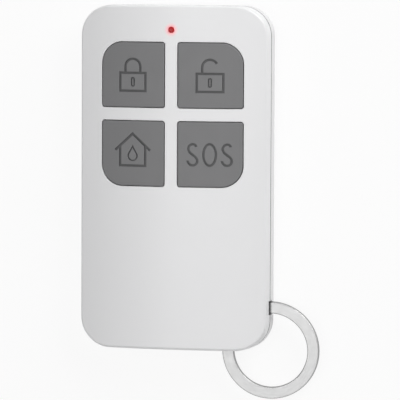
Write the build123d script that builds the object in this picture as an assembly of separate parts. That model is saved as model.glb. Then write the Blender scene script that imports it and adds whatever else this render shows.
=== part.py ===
from build123d import *
import math
import os

# Alarm key fob lying on its back. Millimetres. Origin: the rear cover's flat outer face, at the middle
# of the case. +Z comes out of the face with the keys, +Y runs up to the signal light, +X to the right.

# Case. Its length and width follow from the keys, the battery door and the margins round them.
top_margin = 7.45
side_margin = 5.1
bottom_margin = 7.2
door_gap = 0.55
case_thickness = 8.8
case_corner_radius = 6.2
crown_radius = 80.0
side_flare = 0.4
parting_height = 4.4
seam_width = 0.35
seam_depth = 0.4
face_edge_radius = 0.5
opening_edge_radius = 0.12
rear_edge_radius = 1.2
side_wall = 1.6
face_wall = 1.5
rear_wall = 1.2
lip_height = 0.8
lip_thickness = 0.7
lip_clearance = 0.05
overrun = 1.0

# Screws and their posts
post_radius = 1.4
post_inset = 4.0
post_clearance = 0.1
screw_radius = 0.6
screw_clearance = 0.02
screw_length = 3.6
screw_head_radius = 1.05
screw_head_thickness = 0.55
screw_head_clearance = 0.1
screw_head_recess = 0.1
screw_slot_width = 0.3
screw_slot_depth = 0.25
screw_cross_share = 0.75

# Keys
key_width = 13.3
key_length = 13.2
key_gap = 2.8
key_outer_radius = 4.4
key_corner_radius = 0.5
key_clearance = 0.12
key_proud = 0.06
key_edge_radius = 0.2
key_wall = 1.1
key_top_wall = 1.2
key_flange_width = 0.8
key_flange_gap = 0.1
key_flange_headroom = 0.15
key_stem_radius = 1.6
key_travel = 0.25

# Engraved signs on the keys
engraving_depth = 0.3
stroke = 0.5
thin_stroke = 0.3
sign_drop = 1.46
padlock_width = 5.9
padlock_height = 4.15
shackle_width = 3.7
shackle_height = 2.86
closed_shackle_arc = 180.0
open_shackle_arc = 150.0
keyhole_width = 0.85
keyhole_height = 2.0
house_width = 5.4
house_height = 4.05
house_drop = 2.5
roof_width = 7.45
roof_height = 3.35
drop_width = 2.2
drop_height = 3.3
drop_height_over_floor = 0.9
letter_height = 4.85
letter_width = 2.6
letter_o_width = 3.05
letter_pitch = 3.5
letter_drop = 0.05
# Points on the middle line of a plain S, as shares of half that line's width and height.
letter_s_shares = [(0.72, 0.74), (0.3, 0.97), (-0.35, 0.93), (-0.8, 0.62), (-0.6, 0.25), (0.0, 0.0),
                   (0.68, -0.28), (0.92, -0.62), (0.5, -0.93), (-0.15, -0.98), (-0.72, -0.82), (-0.95, -0.55)]

# Signal light
light_key_gap = 0.57
light_radius = 0.6
light_clearance = 0.02
light_dome = 0.12
light_flange_radius = 1.1
light_flange_thickness = 0.6
light_gap = 0.1
diode_length = 2.0
diode_width = 1.25
diode_thickness = 0.8

# Circuit board
board_clearance = 0.6
board_thickness = 0.8
board_height = 2.6
board_post_radius = 1.0
board_post_inset = 3.2
board_post_offset = 11.5
board_clamp_width = 1.3
board_clamp_length = 2.0
board_clamp_gap = 0.05

# Tact switches
switch_size = 5.2
switch_base_height = 1.0
switch_plate_thickness = 0.2
switch_well_radius = 1.6
plunger_radius = 1.0
plunger_foot_radius = 1.5
plunger_foot_thickness = 0.25
plunger_height = 1.6
plunger_clearance = 0.05
switch_tab_width = 0.7
switch_tab_length = 0.9
switch_tab_thickness = 0.2
switch_tab_pitch = 3.7

# Coin cell and its contacts
cell_radius = 10.0
cell_thickness = 3.2
cell_wall = 0.25
cell_rim = 0.9
gasket_wall = 0.8
cell_cap_rise = 0.15
cell_lift = 0.1
cell_clearance = 0.4
contact_thickness = 0.2
negative_contact_width = 4.0
positive_contact_width = 2.8
contact_foot = 2.2
contact_gap = 0.06
contact_tab_gap = 0.2

# Battery door
door_cell_gap = 0.3
door_flange_width = 1.6
door_clearance = 0.1
door_flange_thickness = 0.7
door_recess = 0.1
door_ledge = 0.75
door_neck_wall = 0.9
door_floor = 1.2
door_lug_reach = 1.0
door_lug_thickness = 0.55
door_lug_count = 3
door_lug_angle = 24.0
door_lug_play = 0.05
door_unlock_angle = 40.0
door_keyway_margin = 3.0
door_boss_margin = 1.2
door_edge_radius = 0.25
coin_slot_length = 13.0
coin_slot_width = 1.8
coin_slot_depth = 0.55

# Key ring
ring_radius = 10.0
ring_bore_radius = 7.6
ring_thickness = 1.2
ring_edge_radius = 0.25
ring_height = 3.6
ring_droop = 3.65
ring_slot_clearance = 0.15
ring_slot_bottom = 2.3
ring_slot_top = 4.95
ring_board_clearance = 0.75

# Chips, crystal, aerial and passive components
controller_length = 5.0
controller_width = 4.0
controller_thickness = 1.3
controller_edge = 4.4
controller_drop = 2.5
controller_pins = 7
transmitter_length = 3.0
transmitter_width = 1.7
transmitter_thickness = 1.1
transmitter_edge = 3.7
transmitter_drop = 4.3
transmitter_pins = 3
pin_length = 0.7
pin_width = 0.35
pin_thickness = 0.15
crystal_length = 3.2
crystal_width = 2.5
crystal_thickness = 0.75
crystal_pitch = 5.3
crystal_drop = 1.7
aerial_width = 1.0
aerial_thickness = 0.1
aerial_margin = 0.8
aerial_rise = 6.0
aerial_drop = 3.0
passive_length = 1.6
passive_width = 0.8
passive_thickness = 0.5
passive_gap = 0.5
passives_in_row = 3

# Values worked out from the sizes above
cell_cap_radius = cell_radius - cell_rim - gasket_wall
door_neck_radius = cell_radius + door_cell_gap + door_neck_wall
door_radius = door_neck_radius + door_flange_width
key_block_length = 2 * key_length + key_gap
case_length = top_margin + key_block_length + door_gap + 2 * door_radius + bottom_margin
case_width = 2 * (side_margin + key_width) + key_gap
crown_centre = case_thickness - crown_radius
half_width = case_width / 2
half_length = case_length / 2
key_block_top = half_length - top_margin
key_block_middle = key_block_top - key_block_length / 2
cell_centre = bottom_margin + door_radius - half_length
light_height = key_block_top + key_clearance + key_flange_width + light_flange_radius + light_key_gap
inner_half_width = half_width - side_wall
inner_half_length = half_length - side_wall
board_top = board_height + board_thickness
board_half_width = inner_half_width - board_clearance
board_half_length = inner_half_length - board_clearance
board_post_rows = (key_block_middle + board_post_offset, key_block_middle - board_post_offset)
board_clamp_rows = (key_block_middle, cell_centre)
controller_x = board_half_width - controller_edge
controller_y = cell_centre + cell_radius - controller_drop
transmitter_x = board_half_width - transmitter_edge
transmitter_y = board_half_length - transmitter_drop
crystal_x = transmitter_x - crystal_pitch
crystal_y = board_half_length - crystal_drop
aerial_top = key_block_middle + aerial_rise
aerial_bottom = cell_centre + aerial_drop
corner_places = [(sx * (half_width - post_inset), sy * (half_length - post_inset))
                 for sx in (-1, 1) for sy in (-1, 1)]
face_edge_height = crown_centre + math.sqrt(crown_radius ** 2 - (half_width - side_flare) ** 2)
switch_plate_top = board_top + switch_base_height + switch_plate_thickness
switch_well_floor = (board_top + switch_base_height - plunger_foot_thickness
                     - key_travel - 2 * plunger_clearance)
plunger_top = board_top + plunger_height
key_flange_foot = switch_plate_top + key_travel + key_flange_headroom
cell_bottom = door_floor + cell_lift
cell_top = cell_bottom + cell_thickness
ring_centre = (half_width, -half_length)
ring_mean_radius = (ring_radius + ring_bore_radius) / 2
door_ledge_top = door_recess + door_flange_thickness + door_lug_play + door_ledge
door_lug_low = door_ledge_top + door_lug_play
door_lug_top = door_lug_low + door_lug_thickness
KEYS = {"arm": (-1, 1), "disarm": (1, 1), "home": (-1, -1), "sos": (1, -1)}


def rod(radius, low, high, x=0.0, y=0.0):
    """Upright round bar between two heights."""
    return Pos(x, y, (low + high) / 2) * Cylinder(radius, high - low)


def brick(width, length, low, high, x=0.0, y=0.0):
    """Upright block between two heights."""
    return Pos(x, y, (low + high) / 2) * Box(width, length, high - low)


def slab(outline, low, high):
    """Flat outline raised between two heights."""
    return extrude(Pos(0, 0, low) * outline, amount=high - low)


def under_crown(depth):
    """Everything below the face's crown, or below a surface that runs at a depth under it."""
    return Pos(0, 0, crown_centre) * Rot(90, 0, 0) * Cylinder(crown_radius - depth, case_length + 2 * overrun)


def save(shape, name):
    """Write one sub-part under its node's name."""
    export_step(shape, f"parts/{name}.step")


def key_centre(name):
    side, row = KEYS[name]
    return side * (key_gap + key_width) / 2, key_block_middle + row * (key_gap + key_length) / 2


def key_outline(name, grow=0.0):
    """A key's outline: three small corners, and a large one at the corner of the block of keys."""
    side, row = KEYS[name]
    x, y = key_centre(name)
    width = key_width + 2 * grow
    length = key_length + 2 * grow
    small = RectangleRounded(width, length, key_corner_radius + max(grow, -key_corner_radius / 2))
    large = RectangleRounded(2 * width, 2 * length, key_outer_radius + grow)
    return Pos(x, y) * (small & Pos(-side * width / 2, -row * length / 2) * large)


def ring_slot_cut():
    """The slots that the key ring passes through, in the right wall and in the bottom wall."""
    near = math.sqrt(ring_bore_radius ** 2 - side_wall ** 2) - ring_slot_clearance
    far = ring_radius + ring_slot_clearance
    reach = (near + far) / 2
    depth = 2 * (side_wall + ring_slot_clearance)
    right = brick(depth, far - near, ring_slot_bottom, ring_slot_top, half_width, reach - half_length)
    bottom = brick(far - near, depth, ring_slot_bottom, ring_slot_top, half_width - reach, -half_length)
    return right + bottom


def front_cover():
    high = case_thickness + overrun
    flare_share = (high - parting_height) / (face_edge_height - parting_height)
    outline = RectangleRounded(case_width, case_length, case_corner_radius)
    narrow = RectangleRounded(case_width - 2 * side_flare * flare_share, case_length, case_corner_radius)
    cover = loft([Pos(0, 0, parting_height) * outline, Pos(0, 0, high) * narrow]) & under_crown(0)
    cover = fillet(cover.faces().sort_by(Axis.Z)[-1].edges(), face_edge_radius)
    room = RectangleRounded(2 * inner_half_width, 2 * inner_half_length, case_corner_radius - side_wall)
    cover = cover - (slab(room, parting_height - overrun, case_thickness) & under_crown(face_wall))

    lip_width = case_width - 2 * (side_wall - lip_thickness)
    lip_length = case_length - 2 * (side_wall - lip_thickness)
    lip = RectangleRounded(lip_width, lip_length, case_corner_radius - side_wall + lip_thickness) - room
    cover = cover + slab(lip, parting_height - lip_height, parting_height)

    screw_end = screw_head_recess + screw_head_thickness + screw_length
    for x, y in corner_places:
        cover = cover + (rod(post_radius, rear_wall + post_clearance, case_thickness, x, y)
                         & under_crown(face_wall / 2))
    for x, y in corner_places:
        cover = cover - rod(screw_radius + screw_clearance, 0, screw_end + screw_clearance, x, y)
    for side in (-1, 1):
        for row in board_clamp_rows:
            clamp = brick(board_clamp_width, board_clamp_length, board_top + board_clamp_gap, case_thickness,
                          side * (inner_half_width - board_clamp_width / 2), row)
            cover = cover + (clamp & under_crown(face_wall / 2))

    for name in KEYS:
        cover = cover - slab(key_outline(name, key_clearance), parting_height, high)
    cover = cover - rod(light_radius + light_clearance, parting_height, high, 0, light_height)
    rims = [edge for wire in cover.faces().sort_by(Axis.Z)[-1].inner_wires() for edge in wire.edges()]
    cover = fillet(rims, opening_edge_radius)
    return cover - ring_slot_cut()


def rear_cover():
    outline = RectangleRounded(case_width, case_length, case_corner_radius)
    cover = slab(outline, 0, parting_height)
    cover = fillet(cover.faces().sort_by(Axis.Z)[0].edges(), rear_edge_radius)
    room = RectangleRounded(2 * inner_half_width, 2 * inner_half_length, case_corner_radius - side_wall)
    cover = cover - slab(room, rear_wall, parting_height + overrun)
    rebate = side_wall - lip_thickness - lip_clearance
    seat = RectangleRounded(case_width - 2 * rebate, case_length - 2 * rebate, case_corner_radius - rebate)
    cover = cover - slab(seat, parting_height - lip_height - lip_clearance, parting_height + overrun)
    core = RectangleRounded(case_width - 2 * seam_depth, case_length - 2 * seam_depth,
                            case_corner_radius - seam_depth)
    cover = cover - slab(outline - core, parting_height - seam_width, parting_height + overrun)

    cover = cover + rod(door_radius + door_boss_margin, rear_wall / 2, door_ledge_top, 0, cell_centre)
    for side in (-1, 1):
        for row in board_post_rows:
            cover = cover + rod(board_post_radius, rear_wall / 2, board_height,
                                side * (half_width - board_post_inset), row)

    flange_room = door_recess + door_flange_thickness + door_lug_play
    opening = rod(door_neck_radius + door_clearance, -overrun, door_ledge_top + overrun, 0, cell_centre)
    counterbore = rod(door_radius + door_clearance, -overrun, flange_room, 0, cell_centre)
    cover = cover - opening - counterbore
    for k in range(door_lug_count):
        keyway = door_sector(door_neck_radius + door_lug_reach + door_clearance,
                             door_lug_angle + 2 * door_keyway_margin,
                             k * 360 / door_lug_count + door_unlock_angle,
                             flange_room - door_lug_play, door_ledge_top + overrun)
        cover = cover - keyway

    for x, y in corner_places:
        cover = cover - rod(screw_radius + post_clearance, -overrun, rear_wall + overrun, x, y)
        cover = cover - rod(screw_head_radius + screw_head_clearance, -overrun,
                            screw_head_recess + screw_head_thickness, x, y)
    return cover - ring_slot_cut()


def door_sector(radius, angle, middle, low, high):
    """A slice of a round disc about the door's axis, between two heights."""
    half = math.radians(angle / 2)
    far = 2 * radius
    outline = Polyline((0, 0), (far * math.cos(half), far * math.sin(half)),
                       (far * math.cos(half), -far * math.sin(half)), (0, 0))
    wedge = make_face(outline)
    piece = wedge & Circle(radius)
    return Pos(0, cell_centre, 0) * Rot(0, 0, middle) * slab(piece, low, high)


def battery_door():
    flange_top = door_recess + door_flange_thickness
    door = rod(door_radius, door_recess, flange_top, 0, cell_centre)
    door = fillet(door.edges().sort_by(Axis.Z)[0], door_edge_radius)
    neck = rod(door_neck_radius, flange_top, door_lug_top, 0, cell_centre)
    door = door + neck
    door = door - rod(door_neck_radius - door_neck_wall, door_floor, door_lug_top + overrun, 0, cell_centre)
    for k in range(door_lug_count):
        lug = door_sector(door_neck_radius + door_lug_reach, door_lug_angle, k * 360 / door_lug_count,
                          door_lug_low, door_lug_top)
        core = rod(door_neck_radius - door_neck_wall / 2, 0, door_lug_top + overrun, 0, cell_centre)
        door = door + (lug - core)
    slot = brick(coin_slot_length, coin_slot_width, -overrun, door_recess + coin_slot_depth, 0, cell_centre)
    return door - slot


def stroked(line):
    """A groove's plan: a line widened to the engraving's stroke."""
    return trace(line, stroke)


def padlock(shackle_arc):
    """Engraved padlock: its body's outline, the keyhole, and a shackle whose arch spans an angle."""
    top = padlock_height / 2 - sign_drop
    middle = top - padlock_height / 2
    body = Rectangle(padlock_width, padlock_height)
    body = body - Rectangle(padlock_width - 2 * stroke, padlock_height - 2 * stroke)
    hole = SlotOverall(keyhole_height, keyhole_width)
    hole = hole - SlotOverall(keyhole_height - 2 * thin_stroke, keyhole_width - 2 * thin_stroke)
    radius = (shackle_width - stroke) / 2
    shoulder = top + shackle_height - stroke / 2 - radius
    shackle = Line((-radius, top - stroke / 2), (-radius, shoulder))
    shackle = shackle + CenterArc((0, shoulder), radius, 180, -shackle_arc)
    if shackle_arc == closed_shackle_arc:
        shackle = shackle + Line((radius, shoulder), (radius, top - stroke / 2))
    return Pos(0, middle) * (body + Rot(0, 0, 90) * hole) + stroked(shackle)


def house():
    """Engraved house: two roof slopes with eaves, the walls, and a drop in the middle."""
    half = house_width / 2
    low = -house_drop
    wall_top = low + house_height
    eaves = wall_top - (roof_width - house_width) / roof_width * roof_height
    roof = Polyline((-roof_width / 2, eaves), (0, eaves + roof_height), (roof_width / 2, eaves))
    walls = Polyline((-half, wall_top), (-half, low), (half, low), (half, wall_top))
    radius = drop_width / 2
    middle = low + drop_height_over_floor + radius
    reach = drop_height - radius
    touch_x = radius * math.sqrt(1 - (radius / reach) ** 2)
    touch_y = middle + radius ** 2 / reach
    tip = (0, middle + reach)
    point = make_face(Polyline((-touch_x, touch_y), tip, (touch_x, touch_y), (-touch_x, touch_y)))
    drop = point + Pos(0, middle) * Circle(radius)
    return stroked(roof) + stroked(walls) + (drop - offset(drop, amount=-thin_stroke))


def letter_s():
    """A plain S, drawn as one stroke."""
    width = letter_width - stroke
    height = letter_height - stroke
    return stroked(Spline(*[(x * width / 2, y * height / 2) for x, y in letter_s_shares]))


def letters():
    """The letters SOS, the general call for help."""
    sign = Ellipse(letter_o_width / 2, letter_height / 2)
    sign = sign - Ellipse(letter_o_width / 2 - stroke, letter_height / 2 - stroke)
    for side in (-1, 1):
        sign = sign + Pos(side * letter_pitch) * letter_s()
    return Pos(0, -letter_drop) * sign


def sign_of(name):
    if name == "arm":
        return padlock(closed_shackle_arc)
    if name == "disarm":
        return padlock(open_shackle_arc)
    if name == "home":
        return house()
    return letters()


def key(name):
    """Hollow key cap with a retaining flange under the cover, a stem to its switch and an engraved sign."""
    x, y = key_centre(name)
    high = case_thickness + overrun
    cap = slab(key_outline(name), key_flange_foot, high) & under_crown(-key_proud)
    cap = fillet(cap.faces().sort_by(Axis.Z)[-1].edges(), key_edge_radius)
    flange = slab(key_outline(name, key_clearance + key_flange_width), key_flange_foot, high)
    cap = cap + (flange & under_crown(face_wall + key_flange_gap))
    cap = cap - (slab(key_outline(name, -key_wall), parting_height, high) & under_crown(key_top_wall))
    cap = cap + (rod(key_stem_radius, plunger_top, high, x, y) & under_crown(key_top_wall / 2))
    groove = slab(Pos(x, y) * sign_of(name), key_flange_foot, high) - under_crown(engraving_depth - key_proud)
    return cap - groove


def switch_base(name):
    x, y = key_centre(name)
    low = board_top
    high = board_top + switch_base_height
    base = brick(switch_size, switch_size, low, high, x, y)
    base = chamfer(base.edges().filter_by(Axis.Z), switch_tab_thickness)
    well = rod(switch_well_radius, switch_well_floor, high + overrun, x, y)
    base = base - well
    for side in (-1, 1):
        for row in (-1, 1):
            base = base + brick(switch_tab_length, switch_tab_width, low, low + switch_tab_thickness,
                                x + side * (switch_size + switch_tab_length) / 2,
                                y + row * switch_tab_pitch / 2)
    return base


def switch_plate(name):
    x, y = key_centre(name)
    low = board_top + switch_base_height
    plate = brick(switch_size, switch_size, low, low + switch_plate_thickness, x, y)
    plate = chamfer(plate.edges().filter_by(Axis.Z), switch_tab_thickness)
    return plate - rod(plunger_radius + plunger_clearance, low - overrun, low + overrun, x, y)


def switch_plunger(name):
    x, y = key_centre(name)
    foot_top = board_top + switch_base_height - plunger_clearance
    foot_low = foot_top - plunger_foot_thickness
    foot = rod(plunger_foot_radius, foot_low, foot_top, x, y)
    return foot + rod(plunger_radius, foot_low, plunger_top, x, y)


def circuit_board():
    outline = Rectangle(2 * board_half_width, 2 * board_half_length)
    outline = fillet(outline.vertices(), case_corner_radius - side_wall)
    outline = outline - Pos(0, cell_centre) * Circle(cell_radius + cell_clearance)
    outline = outline - Pos(*ring_centre) * Circle(ring_radius + ring_board_clearance)
    for x, y in corner_places:
        outline = outline - Pos(x, y) * Circle(post_radius + board_clearance / 2)
    pieces = slab(outline, board_height, board_top).solids().sort_by(SortBy.VOLUME)
    return pieces[-1]


def coin_cell_can():
    can = rod(cell_radius, cell_bottom, cell_top - cell_cap_rise, 0, cell_centre)
    can = fillet(can.edges(), cell_wall)
    room = rod(cell_radius - cell_wall, cell_bottom + cell_wall, cell_top - cell_cap_rise - cell_wall,
               0, cell_centre)
    mouth = rod(cell_radius - cell_rim, cell_bottom + cell_wall, cell_top, 0, cell_centre)
    return can - room - mouth


def coin_cell_cap():
    low = cell_bottom + cell_wall
    cap = rod(cell_cap_radius, low, cell_top, 0, cell_centre)
    return fillet(cap.edges().sort_by(Axis.Z)[-1], cell_wall)


def coin_cell_gasket():
    low = cell_bottom + cell_wall
    high = cell_top - cell_cap_rise
    collar = rod(cell_radius - cell_wall, low, high - cell_wall, 0, cell_centre)
    collar = collar + rod(cell_radius - cell_rim, low, high, 0, cell_centre)
    return collar - rod(cell_cap_radius, low - overrun, high + overrun, 0, cell_centre)


def positive_contact():
    """Bent strip: a spring tab beside the can, up through the board, and a foot on the board."""
    inner = cell_centre + cell_radius + contact_gap
    outer = cell_centre + cell_radius + cell_clearance + contact_foot
    low = door_lug_top + contact_tab_gap
    high = board_top + contact_thickness
    tab = brick(positive_contact_width, contact_thickness, low, high, 0, inner + contact_thickness / 2)
    foot = brick(positive_contact_width, outer - inner, board_top, high, 0, (inner + outer) / 2)
    return tab + foot


def negative_contact():
    """Bridge over the cell: a bar on its cap and a foot on the board at each side."""
    inner = cell_radius + cell_clearance + contact_thickness
    outer = inner + contact_foot
    bar_top = cell_top + contact_thickness
    width = negative_contact_width
    strip = brick(2 * (inner + contact_thickness), width, cell_top, bar_top, 0, cell_centre)
    for side in (-1, 1):
        leg = brick(contact_thickness, width, board_top, bar_top, side * (inner + contact_thickness / 2),
                    cell_centre)
        foot = brick(outer - inner, width, board_top, board_top + contact_thickness,
                     side * (inner + outer) / 2, cell_centre)
        strip = strip + leg + foot
    return strip


def chip(length, width, thickness, x, y, pins):
    """Moulded chip with gull-wing pins along its two long sides."""
    body = brick(width, length, board_top + pin_thickness, board_top + pin_thickness + thickness, x, y)
    body = chamfer(body.edges().group_by(Axis.Z)[-1], pin_thickness)
    pitch = length / pins
    for side in (-1, 1):
        for k in range(pins):
            row = y + (k - (pins - 1) / 2) * pitch
            foot = brick(pin_length, pin_width, board_top, board_top + pin_thickness,
                         x + side * (width + pin_length) / 2, row)
            leg = brick(pin_thickness, pin_width, board_top, board_top + thickness / 2,
                        x + side * (width + pin_thickness) / 2, row)
            body = body + foot + leg
    return body


def crystal():
    can = brick(crystal_length, crystal_width, board_top, board_top + crystal_thickness, crystal_x, crystal_y)
    return chamfer(can.edges().group_by(Axis.Z)[-1], pin_thickness)


def aerial():
    """Loop aerial: a raised copper track down one long edge of the board."""
    x = -(board_half_width - aerial_margin - aerial_width / 2)
    track = brick(aerial_width, aerial_top - aerial_bottom, board_top, board_top + aerial_thickness,
                  x, (aerial_top + aerial_bottom) / 2)
    reach = aerial_width * 2
    for y in (aerial_top, aerial_bottom):
        track = track + brick(reach, aerial_width, board_top, board_top + aerial_thickness,
                              x + (reach - aerial_width) / 2, y)
    return track


def passives():
    """Chip resistors and capacitors: a row above and below the controller, and one at the board's top."""
    rows = [(controller_x, controller_y + side * (controller_length / 2 + passive_gap + passive_length / 2))
            for side in (-1, 1)]
    rows.append((-crystal_x, crystal_y))
    pieces = []
    for x, y in rows:
        for k in range(passives_in_row):
            across = x + (k - (passives_in_row - 1) / 2) * (passive_width + passive_gap)
            pieces.append(brick(passive_width, passive_length, board_top, board_top + passive_thickness,
                                across, y))
    return pieces


def signal_diode():
    return brick(diode_length, diode_width, board_top, board_top + diode_thickness, 0, light_height)


def signal_window():
    """Red light pipe: domed tip in the face, and a flange under the cover that seats it."""
    ceiling = case_thickness - face_wall
    tip = case_thickness + light_dome
    pipe = rod(light_radius, board_top + diode_thickness + light_gap, tip, 0, light_height)
    pipe = fillet(pipe.edges().sort_by(Axis.Z)[-1], 2 * light_dome)
    flange_low = ceiling - light_flange_thickness - light_clearance
    flange = rod(light_flange_radius, flange_low, case_thickness, 0, light_height)
    return pipe + (flange & under_crown(face_wall + light_clearance))


def case_screws():
    low = screw_head_recess
    head_top = low + screw_head_thickness
    screws = []
    for x, y in corner_places:
        screw = rod(screw_head_radius, low, head_top, x, y)
        screw = screw + rod(screw_radius, low, head_top + screw_length, x, y)
        arm = 2 * screw_head_radius * screw_cross_share
        screw = screw - brick(arm, screw_slot_width, low - overrun, low + screw_slot_depth, x, y)
        screw = screw - brick(screw_slot_width, arm, low - overrun, low + screw_slot_depth, x, y)
        screws.append(screw)
    return screws


def key_ring():
    """Flat ring round the corner post, hinged on the line through the two slots and drooping a little."""
    ring = rod(ring_radius, -ring_thickness / 2, ring_thickness / 2)
    ring = ring - rod(ring_bore_radius, -ring_thickness, ring_thickness)
    ring = fillet(ring.edges(), ring_edge_radius)
    ring = Pos(ring_centre[0], ring_centre[1], ring_height) * ring
    hinge = Axis((half_width, ring_mean_radius - half_length, ring_height), (1, 1, 0))
    return ring.rotate(hinge, ring_droop)


os.makedirs("parts", exist_ok=True)
save(front_cover(), "front_cover")
save(rear_cover(), "rear_cover")
save(battery_door(), "battery_door")
for name in KEYS:
    save(key(name), f"{name}_key")
    save(switch_base(name), f"{name}_switch_base")
    save(switch_plate(name), f"{name}_switch_plate")
    save(switch_plunger(name), f"{name}_switch_plunger")
save(circuit_board(), "circuit_board")
save(coin_cell_can(), "coin_cell_can")
save(coin_cell_cap(), "coin_cell_cap")
save(coin_cell_gasket(), "coin_cell_gasket")
save(positive_contact(), "positive_contact")
save(negative_contact(), "negative_contact")
save(chip(controller_length, controller_width, controller_thickness, controller_x, controller_y,
          controller_pins),
     "controller_chip")
save(chip(transmitter_length, transmitter_width, transmitter_thickness, transmitter_x, transmitter_y,
          transmitter_pins),
     "transmitter_chip")
save(crystal(), "crystal")
save(aerial(), "aerial")
save(Compound(children=passives()), "board_passives")
save(signal_diode(), "signal_diode")
save(signal_window(), "signal_window")
save(Compound(children=case_screws()), "case_screws")
save(key_ring(), "key_ring")
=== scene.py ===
import math

import bmesh
import bpy
from mathutils import Matrix, Vector


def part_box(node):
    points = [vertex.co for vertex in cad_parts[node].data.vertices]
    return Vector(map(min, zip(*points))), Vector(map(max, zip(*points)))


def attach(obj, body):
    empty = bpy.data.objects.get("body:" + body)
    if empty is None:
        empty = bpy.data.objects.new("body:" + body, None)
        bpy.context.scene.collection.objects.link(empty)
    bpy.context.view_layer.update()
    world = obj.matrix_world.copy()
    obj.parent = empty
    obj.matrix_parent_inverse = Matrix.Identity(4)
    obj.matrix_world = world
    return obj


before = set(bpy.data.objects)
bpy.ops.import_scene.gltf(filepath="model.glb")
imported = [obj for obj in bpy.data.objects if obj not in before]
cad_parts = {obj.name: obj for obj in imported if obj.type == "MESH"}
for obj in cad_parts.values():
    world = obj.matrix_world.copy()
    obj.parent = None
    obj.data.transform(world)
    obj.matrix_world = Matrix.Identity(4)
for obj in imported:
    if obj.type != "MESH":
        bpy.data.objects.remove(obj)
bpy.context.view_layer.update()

bl_info = {
    "name": "Alarm Key Fob",
    "version": (1, 0, 0),
    "blender": (4, 5, 0),
    "location": "3D View > Sidebar > Key Fob",
    "description": "Finishes the parts of an alarm key fob and sets it on a studio floor",
    "category": "Object",
}

# Lengths are in metres, as Blender's are. A number times mm is a length in millimetres.
mm = 0.001
KEYS = ("arm", "disarm", "home", "sos")
WINDOW_LOW, WINDOW_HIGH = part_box("signal_window")
WINDOW_CENTRE = (WINDOW_LOW + WINDOW_HIGH) / 2
FACE_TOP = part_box("front_cover")[1].z
CROWN_RADIUS = 80 * mm
CROWN_AXIS = (0, 0, FACE_TOP - CROWN_RADIUS)
DOOR_LOW, DOOR_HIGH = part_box("battery_door")
REAR_LOW, REAR_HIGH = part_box("rear_cover")
# The seam is a step round the top of the rear cover's wall.
SEAM_WIDTH = 0.35 * mm
SEAM_FLOOR = REAR_HIGH.z - SEAM_WIDTH
# Where one tint starts to turn into the next and where it has done so: below the seam's step, outside the
# case's slots, and under the keys' face.
SEAM_FADE = (0.04 * mm, 0.01 * mm)
SLOT_FADE = (0.1 * mm, 0.4 * mm)
SIGN_FADE = (0.02 * mm, 0.2 * mm)
# The glow is full up to here from the window's middle.
GLOW_START = 0.3 * mm
# The door's arrow is swept in this many steps, and points closer than this become one.
MARK_STEPS = 24
WELD_GAP = 0.001 * mm
# The floor lies just under the fob. This share of what is seen of it is plain white, and the rest is its own
# shading, which keeps the shadow.
FLOOR_DROP = 0.02 * mm
FLOOR_WHITE_SHARE = 0.88
SENSOR_WIDTH_MM = 36
CLIP_NEAR, CLIP_FAR = 0.01, 50


def linear(colour):
    """An sRGB hex colour in linear light."""
    parts = [int(colour[k:k + 2], 16) / 255 for k in (1, 3, 5)]
    return tuple(c / 12.92 if c <= 0.04045 else ((c + 0.055) / 1.055) ** 2.4 for c in parts)


class FobFinish(bpy.types.PropertyGroup):
    """Colours and surface sizes of the fob's visible pieces."""
    case_colour: bpy.props.FloatVectorProperty(
        name="Case", description="White of the moulded covers", subtype="COLOR",
        default=linear("#E8E8E9"), min=0, max=1)
    # Painted shade: the rear cover and the battery door get a darker copy of the case's white, so that their
    # walls look less bright.
    rear_shade_colour: bpy.props.FloatVectorProperty(
        name="Rear", description="Slightly duller white of the rear cover and the battery door",
        subtype="COLOR", default=linear("#DCDCDD"), min=0, max=1)
    # Painted shade: the seam's step takes this dark colour, for the shade in the gap between the covers.
    seam_shade_colour: bpy.props.FloatVectorProperty(
        name="Seam", description="Dark line where the two covers meet", subtype="COLOR",
        default=linear("#3A3A3B"), min=0, max=1)
    key_colour: bpy.props.FloatVectorProperty(
        name="Keys", description="Grey of the four keys", subtype="COLOR",
        default=linear("#737374"), min=0, max=1)
    sign_colour: bpy.props.FloatVectorProperty(
        name="Signs", description="Darker grey at the bottom of the engraved signs", subtype="COLOR",
        default=linear("#4E4E4F"), min=0, max=1)
    ring_colour: bpy.props.FloatVectorProperty(
        name="Ring", description="Tint of the ring's nickel plate", subtype="COLOR",
        default=linear("#A8A8A8"), min=0, max=1)
    # Painted shade: the rims get this darker tint where the ring's surface faces sideways, which dims their
    # highlights.
    rim_shade_colour: bpy.props.FloatVectorProperty(
        name="Ring's rims", description="Duller tint of the ring's inner and outer rim", subtype="COLOR",
        default=linear("#929292"), min=0, max=1)
    slot_colour: bpy.props.FloatVectorProperty(
        name="Ring in the slots",
        description="Dark tint of the ring in the case's slots, which stands for the shade there",
        subtype="COLOR", default=linear("#666666"), min=0, max=1)
    window_colour: bpy.props.FloatVectorProperty(
        name="Window", description="Red of the signal window", subtype="COLOR",
        default=linear("#9C1218"), min=0, max=1)
    # Painted glow: the three values below tint the face pink round the window and make it shine faintly, for
    # the lit diode's light in the plastic.
    glow_colour: bpy.props.FloatVectorProperty(
        name="Glow", description="Tint that the lit window gives the white plastic round it",
        subtype="COLOR", default=linear("#FF9CA2"), min=0, max=1)
    glow_strength: bpy.props.FloatProperty(
        name="Glow strength", description="Light that comes through the plastic beside the window",
        default=0.16, min=0, max=2)
    glow_reach: bpy.props.FloatProperty(
        name="Glow reach", description="How far from the window's middle its light tints the face",
        default=1.6 * mm, min=0, max=10 * mm, unit="LENGTH")


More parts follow.
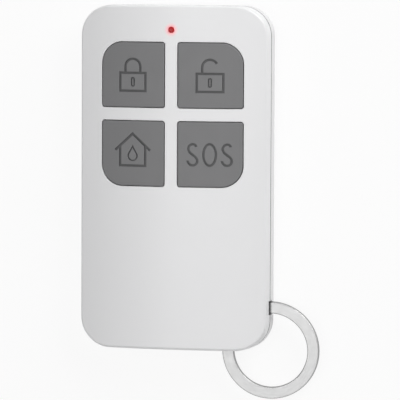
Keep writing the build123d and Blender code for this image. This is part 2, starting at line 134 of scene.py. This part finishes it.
class FobMark(bpy.types.PropertyGroup):
    """Raised arrow on the battery door."""
    radius: bpy.props.FloatProperty(
        name="Radius", description="From the door's middle to the middle of the arrow's band",
        default=9.3 * mm, min=1 * mm, max=20 * mm, unit="LENGTH")
    width: bpy.props.FloatProperty(
        name="Width", description="Width of the arrow's band",
        default=0.8 * mm, min=0.1 * mm, max=5 * mm, unit="LENGTH")
    height: bpy.props.FloatProperty(
        name="Height", description="How far the arrow stands out of the door",
        default=0.07 * mm, min=0.01 * mm, max=0.1 * mm, unit="LENGTH")
    sweep: bpy.props.FloatProperty(
        name="Sweep", description="Angle that the band spans", default=math.radians(55), subtype="ANGLE")
    head_width: bpy.props.FloatProperty(
        name="Head width", description="Width of the arrow's head",
        default=2.2 * mm, min=0.2 * mm, max=8 * mm, unit="LENGTH")
    head_length: bpy.props.FloatProperty(
        name="Head length", description="Length of the arrow's head",
        default=1.9 * mm, min=0.2 * mm, max=8 * mm, unit="LENGTH")


class FobStage(bpy.types.PropertyGroup):
    """Floor, lamps and camera."""
    floor_size: bpy.props.FloatProperty(
        name="Floor", description="Length of the square floor's side",
        default=4.0, min=0.5, max=20, unit="LENGTH")
    floor_colour: bpy.props.FloatVectorProperty(
        name="Floor colour", description="Pale matt floor", subtype="COLOR",
        default=linear("#FAFAFA"), min=0, max=1)
    sky_strength: bpy.props.FloatProperty(
        name="Surround", description="Light that comes evenly from all round above the floor",
        default=0.2, min=0, max=2)
    lens: bpy.props.FloatProperty(
        name="Lens", description="Focal length on a 36 mm wide sensor, in millimetres",
        default=350.4, min=20, max=1000)
    distance: bpy.props.FloatProperty(
        name="Distance", description="From the aimed point on the fob to the camera",
        default=789.9 * mm, min=0.1, max=10, unit="LENGTH")
    swing: bpy.props.FloatProperty(
        name="Swing", description="How far the camera stands to the right of the face's normal",
        default=math.radians(13.668), subtype="ANGLE")
    rise: bpy.props.FloatProperty(
        name="Rise", description="How far the camera stands above the face's normal",
        default=math.radians(4.328), subtype="ANGLE")
    roll: bpy.props.FloatProperty(
        name="Roll", description="How far the fob leans clockwise in the picture",
        default=math.radians(0.255), subtype="ANGLE")
    aim: bpy.props.FloatVectorProperty(
        name="Aim", description="Point of the fob in the middle of the picture",
        default=(5.892 * mm, -4.328 * mm, 7.679 * mm), subtype="TRANSLATION", unit="LENGTH")


# Places and strengths of the soft boxes: where each stands, its width and height, and its power in watts.
LAMPS = {
    "overhead_box": ((0.0, 0.0, 0.60), (0.38, 0.38), 0.66),
    "left_box": ((-0.205, 0.0, 0.564), (0.38, 0.38), 0.46),
    "far_right_box": ((0.385, 0.385, 0.254), (0.40, 0.40), 2.30),
    "top_box": ((0.0, 0.32, 0.15), (0.22, 0.22), 0.13),
    "near_box": ((0.05, -0.50, 0.15), (0.30, 0.30), 0.35),
    # This one stands under the floor, which lets it through, and lights the fob's back.
    "under_box": ((-0.30, -0.10, -0.40), (0.40, 0.40), 1.10),
}

# Finishes of the inner pieces: name, colour, size and height of the grain in millimetres, metallic,
# roughness, and the nodes that have it. The comments say what each gives the eye.
INNER_FINISHES = (
    # Cool bright grey with a soft sheen, from the zinc.
    ("zinc_plated_steel", "#B9BCC0", 0.2, 0.002, 1.0, 0.35, ["case_screws"]),
    # Neutral, clean sheet with blurred reflections.
    ("stainless_sheet", "#C4C4C2", 0.15, 0.002, 1.0, 0.32, [f"{key}_switch_plate" for key in KEYS]),
    # Dull black, as nylon filled with glass fibre is.
    ("black_nylon", "#1C1C1D", 0.2, 0.004, 0.0, 0.55, [f"{key}_switch_base" for key in KEYS]),
    # Undyed nylon, a warm off-white with a faint gloss.
    ("ivory_nylon", "#C9C0A8", 0.2, 0.003, 0.0, 0.45, [f"{key}_switch_plunger" for key in KEYS]),
    # The brightest metal inside, smooth from the press.
    ("nickel_plated_can", "#CFCFCB", 0.12, 0.002, 1.0, 0.28, ["coin_cell_can", "coin_cell_cap"]),
    # Matt and nearly black.
    ("seal_rubber", "#2A2A2A", 0.2, 0.003, 0.0, 0.7, ["coin_cell_gasket"]),
    # Nickel with a little yellow in it, bright from rolling.
    ("spring_strip", "#CBC7B8", 0.15, 0.002, 1.0, 0.3, ["positive_contact", "negative_contact"]),
    # Dark grey and dry, like slate.
    ("moulded_epoxy", "#232325", 0.12, 0.004, 0.0, 0.6, ["controller_chip", "transmitter_chip"]),
    # A drawn can with a near-mirror shine.
    ("crystal_can", "#C8C6BE", 0.12, 0.001, 1.0, 0.25, ["crystal"]),
    # Copper orange, dulled a little by its thin coat.
    ("tinned_copper", "#C98A5E", 0.2, 0.003, 1.0, 0.35, ["aerial"]),
    # Flat brown, like unglazed clay.
    ("fired_ceramic", "#8A7256", 0.15, 0.003, 0.0, 0.5, ["board_passives"]),
    # Glossy and slightly warm.
    ("clear_epoxy", "#EADFD2", 0.2, 0.001, 0.0, 0.15, ["signal_diode"]),
)


def add_node(tree, kind, settings=None, links=None):
    """Adds a node, sets its options and sockets, and joins other nodes' outputs to it."""
    node = tree.nodes.new(kind)
    for name, value in (settings or {}).items():
        if isinstance(name, int) or name in node.inputs:
            node.inputs[name].default_value = value
        else:
            setattr(node, name, value)
    for name, output in (links or {}).items():
        tree.links.new(output, node.inputs[name])
    return node


def new_finish(name, settings):
    """A material with its shader, the object's own coordinates, and sockets that hold plain values."""
    material = bpy.data.materials.new(name)
    material.use_nodes = True
    tree = material.node_tree
    shader = tree.nodes["Principled BSDF"]
    for socket, value in settings.items():
        shader.inputs[socket].default_value = value
    place = add_node(tree, "ShaderNodeTexCoord").outputs["Object"]
    return material, tree, shader, place


def rgba(colour):
    return (*colour, 1.0)


def grain(tree, shader, place, size, height):
    """Fine relief over the whole surface, with grains of a real size and height."""
    noise = add_node(tree, "ShaderNodeTexNoise", {"Scale": 1 / size, "Detail": 2.0}, {"Vector": place})
    bump = add_node(tree, "ShaderNodeBump", {"Strength": 1.0, "Distance": height},
                    {"Height": noise.outputs["Fac"]})
    tree.links.new(bump.outputs["Normal"], shader.inputs["Normal"])


def follow(tree, socket, noise, low, high):
    """Lets a shader value follow a noise, whose values lie mostly between 0.3 and 0.7."""
    span = add_node(tree, "ShaderNodeMapRange",
                    {"From Min": 0.3, "From Max": 0.7, "To Min": low, "To Max": high},
                    {"Value": noise.outputs["Fac"]})
    tree.links.new(span.outputs["Result"], socket)


def vary(tree, socket, place, size, low, high):
    """Slow change of a shader value from place to place, such as the gloss of a moulded wall."""
    noise = add_node(tree, "ShaderNodeTexNoise", {"Scale": 1 / size, "Detail": 3.0}, {"Vector": place})
    follow(tree, socket, noise, low, high)


def offset_from(tree, place, middle, kept):
    """The way from a fixed point to a place, along the axes that are kept, and how long it is."""
    whole = add_node(tree, "ShaderNodeVectorMath", {"operation": "SUBTRACT", 1: middle}, {0: place})
    flat = add_node(tree, "ShaderNodeVectorMath", {"operation": "MULTIPLY", 1: kept}, {0: whole.outputs[0]})
    length = add_node(tree, "ShaderNodeVectorMath", {"operation": "LENGTH"}, {0: flat.outputs[0]})
    return flat.outputs[0], length.outputs["Value"]


def white_abs(name, finish, colour, glow=False, seam=False):
    """Injection-moulded ABS from a fine spark-eroded tool: an even satin white with soft highlights.
    The face gets a painted glow round the window: a pink tint and a faint emission. The step of the seam gets
    painted shade, a dark tint as of a narrow gap."""
    material, tree, shader, place = new_finish(name, {
        "Base Color": rgba(colour), "Roughness": 0.3, "IOR": 1.58, "Specular IOR Level": 0.6})
    # The tool's real grain of 0.05 mm is too fine for the picture, so it is drawn at 0.35 mm.
    grain(tree, shader, place, 0.35 * mm, 0.004 * mm)
    vary(tree, shader.inputs["Roughness"], place, 9 * mm, 0.28, 0.33)
    if glow:
        # Painted glow: a pink tint and a faint emission, fading out from the window's middle.
        _, away = offset_from(tree, place, WINDOW_CENTRE, (1, 1, 0))
        share = add_node(tree, "ShaderNodeMapRange",
                         {"interpolation_type": "SMOOTHSTEP", "From Min": GLOW_START,
                          "From Max": finish.glow_reach, "To Min": 1.0, "To Max": 0.0},
                         {"Value": away})
        tint = add_node(tree, "ShaderNodeMix", {"data_type": "RGBA", 6: rgba(colour),
                                                7: rgba(finish.glow_colour)},
                        {0: share.outputs["Result"]})
        tree.links.new(tint.outputs[2], shader.inputs["Base Color"])
        shine = add_node(tree, "ShaderNodeMath", {"operation": "MULTIPLY", 1: finish.glow_strength},
                         {0: share.outputs["Result"]})
        shader.inputs["Emission Color"].default_value = rgba(finish.glow_colour)
        tree.links.new(shine.outputs[0], shader.inputs["Emission Strength"])
    if seam:
        # Painted shade: the seam's step is coloured dark, for the shade in the narrow gap between the covers.
        height = add_node(tree, "ShaderNodeSeparateXYZ", links={0: place})
        above = add_node(tree, "ShaderNodeMapRange",
                         {"interpolation_type": "SMOOTHSTEP", "From Min": SEAM_FLOOR - SEAM_FADE[0],
                          "From Max": SEAM_FLOOR - SEAM_FADE[1]},
                         {"Value": height.outputs["Z"]})
        gap = add_node(tree, "ShaderNodeMix", {"data_type": "RGBA", 6: rgba(colour),
                                               7: rgba(finish.seam_shade_colour)},
                       {0: above.outputs["Result"]})
        tree.links.new(gap.outputs[2], shader.inputs["Base Color"])
    return material


def depth_under_crown(tree, place):
    """How far a point lies under the face's crown, a round surface that runs along the fob."""
    _, away = offset_from(tree, place, CROWN_AXIS, (1, 0, 1))
    return add_node(tree, "ShaderNodeMath", {"operation": "SUBTRACT", 0: CROWN_RADIUS}, {1: away}).outputs[0]


def grey_key_plastic(finish):
    """Moulded key plastic, dyed grey through: duller than the case, with a finer and deeper grain. The
    signs are sunk into it, and their bottoms are tinted darker."""
    material, tree, shader, place = new_finish("grey_key_plastic", {"Roughness": 0.5, "IOR": 1.52})
    sunk = add_node(tree, "ShaderNodeMapRange",
                    {"interpolation_type": "SMOOTHSTEP", "From Min": SIGN_FADE[0],
                     "From Max": SIGN_FADE[1]},
                    {"Value": depth_under_crown(tree, place)})
    colour = add_node(tree, "ShaderNodeMix", {"data_type": "RGBA", 6: rgba(finish.key_colour),
                                              7: rgba(finish.sign_colour)},
                      {0: sunk.outputs["Result"]})
    tree.links.new(colour.outputs[2], shader.inputs["Base Color"])
    # The real grain of 0.04 mm is drawn at 0.3 mm, so that it shows.
    grain(tree, shader, place, 0.3 * mm, 0.006 * mm)
    vary(tree, shader.inputs["Roughness"], place, 4 * mm, 0.48, 0.55)
    return material


def red_acrylic(finish):
    """Clear acrylic dyed red, polished: deep red with a small bright highlight."""
    # The emission is a painted glow, for the lit diode behind the window.
    material, tree, shader, place = new_finish("red_acrylic", {
        "Base Color": rgba(finish.window_colour), "Roughness": 0.2, "IOR": 1.49, "Specular IOR Level": 0.2,
        "Emission Color": rgba(finish.window_colour), "Emission Strength": 0.3})
    grain(tree, shader, place, 0.4 * mm, 0.002 * mm)
    return material


def satin_nickel(finish):
    """Satin nickel plate on steel, brushed along the ring: soft streaks and a broad pale sheen on its flat
    faces. The rims, where the surface turns sideways, get a darker tint: painted shade that dims their
    highlights. A dark tint inside the case's slots stands for the shade there."""
    material, tree, shader, place = new_finish("satin_nickel", {"Metallic": 1.0})
    # Painted shade: where the surface turns sideways, on the rims, the colour turns to the darker rim tint.
    upward = add_node(tree, "ShaderNodeSeparateXYZ", links={0: place.node.outputs["Normal"]})
    level = add_node(tree, "ShaderNodeMath", {"operation": "ABSOLUTE"}, {0: upward.outputs["Z"]})
    face = add_node(tree, "ShaderNodeMapRange",
                    {"interpolation_type": "SMOOTHSTEP", "From Min": 0.3, "From Max": 0.95},
                    {"Value": level.outputs[0]})
    colour = add_node(tree, "ShaderNodeMix", {"data_type": "RGBA", 6: rgba(finish.rim_shade_colour),
                                              7: rgba(finish.ring_colour)},
                      {0: face.outputs["Result"]})
    where = add_node(tree, "ShaderNodeSeparateXYZ", links={0: place})
    left = add_node(tree, "ShaderNodeMapRange",
                    {"interpolation_type": "SMOOTHSTEP", "From Min": REAR_HIGH.x + SLOT_FADE[0],
                     "From Max": REAR_HIGH.x + SLOT_FADE[1], "To Min": 1.0, "To Max": 0.0},
                    {"Value": where.outputs["X"]})
    above = add_node(tree, "ShaderNodeMapRange",
                     {"interpolation_type": "SMOOTHSTEP", "From Min": REAR_LOW.y - SLOT_FADE[1],
                      "From Max": REAR_LOW.y - SLOT_FADE[0]},
                     {"Value": where.outputs["Y"]})
    inside = add_node(tree, "ShaderNodeMath", {"operation": "MULTIPLY"},
                      {0: left.outputs["Result"], 1: above.outputs["Result"]})
    shaded = add_node(tree, "ShaderNodeMix", {"data_type": "RGBA", 7: rgba(finish.slot_colour)},
                      {0: inside.outputs[0], 6: colour.outputs[2]})
    tree.links.new(shaded.outputs[2], shader.inputs["Base Color"])
    # The brush's streaks are 0.25 mm wide, coarse enough to show, and long round the ring.
    low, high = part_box("key_ring")
    outward, radius = offset_from(tree, place, (low + high) / 2, (1, 1, 0))
    turn = add_node(tree, "ShaderNodeVectorMath", {"operation": "NORMALIZE"}, {0: outward})
    spread = add_node(tree, "ShaderNodeVectorMath", {"operation": "SCALE", "Scale": 6.0},
                      {0: turn.outputs[0]})
    across = add_node(tree, "ShaderNodeMath", {"operation": "DIVIDE", 1: 0.25 * mm}, {0: radius})
    lift = add_node(tree, "ShaderNodeCombineXYZ", links={"Z": across.outputs[0]})
    streak = add_node(tree, "ShaderNodeVectorMath", {"operation": "ADD"},
                      {0: spread.outputs[0], 1: lift.outputs[0]})
    noise = add_node(tree, "ShaderNodeTexNoise", {"Scale": 1.0, "Detail": 3.0},
                     {"Vector": streak.outputs[0]})
    bump = add_node(tree, "ShaderNodeBump", {"Strength": 1.0, "Distance": 0.012 * mm},
                    {"Height": noise.outputs["Fac"]})
    tree.links.new(bump.outputs["Normal"], shader.inputs["Normal"])
    follow(tree, shader.inputs["Roughness"], noise, 0.34, 0.46)
    return material


def plain_finish(name, colour, size, height, metallic, rough):
    """An inner piece's finish: one colour, a slow change of gloss and a grain of a real size."""
    material, tree, shader, place = new_finish(name, {
        "Base Color": rgba(linear(colour)), "Metallic": metallic, "Roughness": rough})
    grain(tree, shader, place, size * mm, height * mm)
    vary(tree, shader.inputs["Roughness"], place, 3 * mm, rough * 0.9, rough * 1.1)
    return material


def solder_mask_board():
    """Glass-epoxy board under green solder mask: glossy, and paler where a copper track runs underneath."""
    material, tree, shader, place = new_finish("solder_mask_board", {"Roughness": 0.3})
    # Tracks 0.3 mm wide, on a grid of 1.27 mm by 5.08 mm.
    tracks = add_node(tree, "ShaderNodeTexBrick",
                      {"Color1": rgba(linear("#17572F")), "Color2": rgba(linear("#195C33")),
                       "Mortar": rgba(linear("#2F8A4C")), "Scale": 1 / mm, "Mortar Size": 0.15,
                       "Mortar Smooth": 0.3, "Brick Width": 5.08, "Row Height": 1.27},
                      {"Vector": place})
    tree.links.new(tracks.outputs["Color"], shader.inputs["Base Color"])
    bump = add_node(tree, "ShaderNodeBump", {"Strength": 1.0, "Distance": 0.03 * mm},
                    {"Height": tracks.outputs["Fac"]})
    tree.links.new(bump.outputs["Normal"], shader.inputs["Normal"])
    return material


def dress(names, material):
    """Gives CAD nodes their finish."""
    for name in names:
        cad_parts[name].material_slots[0].material = material


class FOB_OT_case(bpy.types.Operator):
    """Finish the two covers and the battery door in white moulded plastic"""
    bl_idname = "fob.case"
    bl_label = "Case"

    def execute(self, context):
        finish = context.scene.fob_finish
        dress(["front_cover"], white_abs("white_abs_face", finish, finish.case_colour, glow=True))
        dress(["rear_cover"], white_abs("white_abs_rear", finish, finish.rear_shade_colour, seam=True))
        dress(["battery_door"], white_abs("white_abs_door", finish, finish.rear_shade_colour))
        return {"FINISHED"}


class FOB_OT_keys(bpy.types.Operator):
    """Finish the four engraved keys in grey plastic"""
    bl_idname = "fob.keys"
    bl_label = "Keys"

    def execute(self, context):
        dress([f"{name}_key" for name in KEYS], grey_key_plastic(context.scene.fob_finish))
        return {"FINISHED"}


class FOB_OT_window(bpy.types.Operator):
    """Finish the signal window in red acrylic"""
    bl_idname = "fob.window"
    bl_label = "Signal window"

    def execute(self, context):
        dress(["signal_window"], red_acrylic(context.scene.fob_finish))
        return {"FINISHED"}


class FOB_OT_ring(bpy.types.Operator):
    """Finish the key ring in brushed satin nickel"""
    bl_idname = "fob.ring"
    bl_label = "Key ring"

    def execute(self, context):
        dress(["key_ring"], satin_nickel(context.scene.fob_finish))
        return {"FINISHED"}


def select_by(mesh, chosen):
    """In edit mode, leaves only the edges selected whose two ends both pass a test of their place."""
    bpy.ops.mesh.select_all(action="DESELECT")
    bpy.ops.mesh.select_mode(type="EDGE")
    edit = bmesh.from_edit_mesh(mesh)
    for edge in edit.edges:
        edge.select_set(all(chosen(end.co) for end in edge.verts))
    bmesh.update_edit_mesh(mesh)


class FOB_OT_door_mark(bpy.types.Operator):
    """Add the raised arrow that shows which way the battery door turns"""
    bl_idname = "fob.door_mark"
    bl_label = "Door mark"

    def execute(self, context):
        mark = context.scene.fob_mark
        middle = (DOOR_LOW + DOOR_HIGH) / 2
        # The arrow's foot is sunk into the door, so that no gap shows under it.
        sunk = mark.height / 4
        root = DOOR_LOW.z + sunk
        bpy.ops.object.select_all(action="DESELECT")
        bpy.ops.mesh.primitive_plane_add(size=mark.width, location=(middle.x + mark.radius, middle.y, root))
        arrow = context.object
        arrow.name = "door_turning_mark"
        bpy.ops.object.transform_apply(location=True, rotation=True, scale=True)
        bpy.ops.object.mode_set(mode="EDIT")
        select_by(arrow.data, lambda place: place.y > middle.y)
        bpy.ops.mesh.spin(steps=MARK_STEPS, angle=-mark.sweep, center=(middle.x, middle.y, root),
                          axis=(0, 0, 1))
        edit = bmesh.from_edit_mesh(arrow.data)
        ends = [vert.co.copy() for vert in edit.verts if vert.select]
        neck = (ends[0] + ends[1]) / 2
        outward = (neck - Vector((middle.x, middle.y, root))).normalized()
        wide = mark.head_width / mark.width
        bpy.ops.mesh.extrude_edges_move()
        bpy.ops.transform.resize(value=(wide, wide, 1), center_override=neck)
        ahead = Vector((-outward.y, outward.x, 0))
        bpy.ops.mesh.extrude_edges_move(TRANSFORM_OT_translate={"value": ahead * mark.head_length})
        bpy.ops.mesh.merge(type="CENTER")
        bpy.ops.mesh.select_all(action="SELECT")
        bpy.ops.mesh.remove_doubles(threshold=WELD_GAP)
        bpy.ops.mesh.extrude_region_move(TRANSFORM_OT_translate={"value": (0, 0, -(mark.height + sunk))})
        bpy.ops.mesh.select_all(action="SELECT")
        bpy.ops.mesh.normals_make_consistent(inside=False)
        bpy.ops.object.mode_set(mode="OBJECT")
        bevel = arrow.modifiers.new("soft_edge", "BEVEL")
        bevel.width = mark.height / 3
        bevel.segments = 2
        bpy.ops.object.modifier_apply(modifier=bevel.name)
        arrow.data.materials.append(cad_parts["battery_door"].material_slots[0].material)
        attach(arrow, "door")
        return {"FINISHED"}


class FOB_OT_inside(bpy.types.Operator):
    """Finish the screws, the battery, the board and the parts on it"""
    bl_idname = "fob.inside"
    bl_label = "Inside parts"

    def execute(self, context):
        for *finish, names in INNER_FINISHES:
            dress(names, plain_finish(*finish))
        dress(["circuit_board"], solder_mask_board())
        return {"FINISHED"}


def rays_that_see(tree):
    """The light path, and 1 for the rays that see a backdrop: direct, in a shiny surface or through glass."""
    path = add_node(tree, "ShaderNodeLightPath")
    seen = path.outputs["Is Camera Ray"]
    for kind in ("Is Glossy Ray", "Is Transmission Ray"):
        either = add_node(tree, "ShaderNodeMath", {"operation": "MAXIMUM"}, {0: seen, 1: path.outputs[kind]})
        seen = either.outputs[0]
    return path, seen


def studio_floor_finish(stage):
    """Pale matt floor. It looks white in the picture where nothing shades it, and keeps the fob's shadow.
    From below it isn't seen, and it lets a lamp's light through, so that the fob's back can be looked at."""
    material, tree, shader, _ = new_finish("studio_floor", {
        "Base Color": rgba(stage.floor_colour), "Roughness": 0.9, "Specular IOR Level": 0.0})
    path, seen = rays_that_see(tree)
    white = add_node(tree, "ShaderNodeEmission", {"Strength": 1.0})
    blend = add_node(tree, "ShaderNodeMath", {"operation": "MULTIPLY", 1: FLOOR_WHITE_SHARE}, {0: seen})
    floor = add_node(tree, "ShaderNodeMixShader", links={
        0: blend.outputs[0], 1: shader.outputs[0], 2: white.outputs[0]})
    side = add_node(tree, "ShaderNodeNewGeometry")
    through = add_node(tree, "ShaderNodeMath", {"operation": "MAXIMUM"},
                       {0: side.outputs["Backfacing"], 1: path.outputs["Is Shadow Ray"]})
    clear = add_node(tree, "ShaderNodeBsdfTransparent")
    mixed = add_node(tree, "ShaderNodeMixShader", links={
        0: through.outputs[0], 1: floor.outputs[0], 2: clear.outputs[0]})
    tree.links.new(mixed.outputs[0], tree.nodes["Material Output"].inputs["Surface"])
    return material


def light_surround(stage):
    """An even pale surround above the floor, which looks white itself and gives nothing from below."""
    world = bpy.data.worlds.new("studio_surround")
    bpy.context.scene.world = world
    world.use_nodes = True
    tree = world.node_tree
    _, seen = rays_that_see(tree)
    direction = add_node(tree, "ShaderNodeTexCoord").outputs["Generated"]
    height = add_node(tree, "ShaderNodeSeparateXYZ", links={0: direction})
    above = add_node(tree, "ShaderNodeMath", {"operation": "GREATER_THAN", 1: 0.0},
                     {0: height.outputs["Z"]})
    lit = add_node(tree, "ShaderNodeMath", {"operation": "MULTIPLY", 1: stage.sky_strength},
                   {0: above.outputs[0]})
    strength = add_node(tree, "ShaderNodeMath", {"operation": "MAXIMUM"}, {0: seen, 1: lit.outputs[0]})
    background = tree.nodes["Background"]
    background.inputs["Color"].default_value = (1, 1, 1, 1)
    tree.links.new(strength.outputs[0], background.inputs["Strength"])


def add_lamp(name, place, size, power):
    """A rectangular soft box that points at the fob."""
    bpy.ops.object.light_add(type="AREA", location=place)
    lamp = bpy.context.object
    lamp.name = name
    lamp.data.shape = "RECTANGLE"
    lamp.data.size, lamp.data.size_y = size
    lamp.data.energy = power
    lamp.rotation_euler = Vector(place).to_track_quat("Z", "Y").to_euler()


def add_camera(stage):
    """The photograph's view of the fob."""
    across = Matrix.Rotation(-stage.swing, 3, "Y")
    over = Matrix.Rotation(stage.rise, 3, "X")
    lean = Matrix.Rotation(-stage.roll, 3, "Z")
    turn = (lean @ over @ across).transposed()
    bpy.ops.object.camera_add(location=Vector(stage.aim) + turn @ Vector((0, 0, stage.distance)),
                              rotation=turn.to_euler())
    camera = bpy.context.object
    camera.data.sensor_width = SENSOR_WIDTH_MM
    camera.data.lens = stage.lens
    camera.data.clip_start = CLIP_NEAR
    camera.data.clip_end = CLIP_FAR
    bpy.context.scene.camera = camera


class FOB_OT_stage(bpy.types.Operator):
    """Add the floor, the soft boxes, the surround and the camera"""
    bl_idname = "fob.stage"
    bl_label = "Stage"

    def execute(self, context):
        stage = context.scene.fob_stage
        bpy.ops.mesh.primitive_plane_add(size=stage.floor_size, location=(0, 0, -FLOOR_DROP))
        floor = context.object
        floor.name = "studio_floor"
        floor.data.materials.append(studio_floor_finish(stage))
        for name, (place, size, power) in LAMPS.items():
            add_lamp(name, place, size, power)
        light_surround(stage)
        add_camera(stage)
        context.scene.view_settings.view_transform = "Standard"
        return {"FINISHED"}


STEPS = (FOB_OT_case, FOB_OT_door_mark, FOB_OT_keys, FOB_OT_window, FOB_OT_ring, FOB_OT_inside,
         FOB_OT_stage)


class FOB_PT_panel(bpy.types.Panel):
    """Lists the steps that finish the fob"""
    bl_idname = "FOB_PT_panel"
    bl_label = "Key Fob"
    bl_space_type = "VIEW_3D"
    bl_region_type = "UI"
    bl_category = "Key Fob"

    def draw(self, context):
        for step in STEPS:
            self.layout.operator(step.bl_idname)
        for group in (context.scene.fob_finish, context.scene.fob_mark, context.scene.fob_stage):
            for name in group.__annotations__:
                self.layout.prop(group, name)


CLASSES = (FobFinish, FobMark, FobStage, *STEPS, FOB_PT_panel)


def register():
    for item in CLASSES:
        bpy.utils.register_class(item)
    bpy.types.Scene.fob_finish = bpy.props.PointerProperty(type=FobFinish)
    bpy.types.Scene.fob_mark = bpy.props.PointerProperty(type=FobMark)
    bpy.types.Scene.fob_stage = bpy.props.PointerProperty(type=FobStage)


def unregister():
    del bpy.types.Scene.fob_stage
    del bpy.types.Scene.fob_mark
    del bpy.types.Scene.fob_finish
    for item in reversed(CLASSES):
        bpy.utils.unregister_class(item)


def main():
    register()
    bpy.ops.object.select_all(action="DESELECT")
    bpy.ops.fob.case()
    bpy.ops.fob.door_mark()
    bpy.ops.fob.keys()
    bpy.ops.fob.window()
    bpy.ops.fob.ring()
    bpy.ops.fob.inside()
    bpy.ops.fob.stage()


if __name__ == "__main__":
    main()
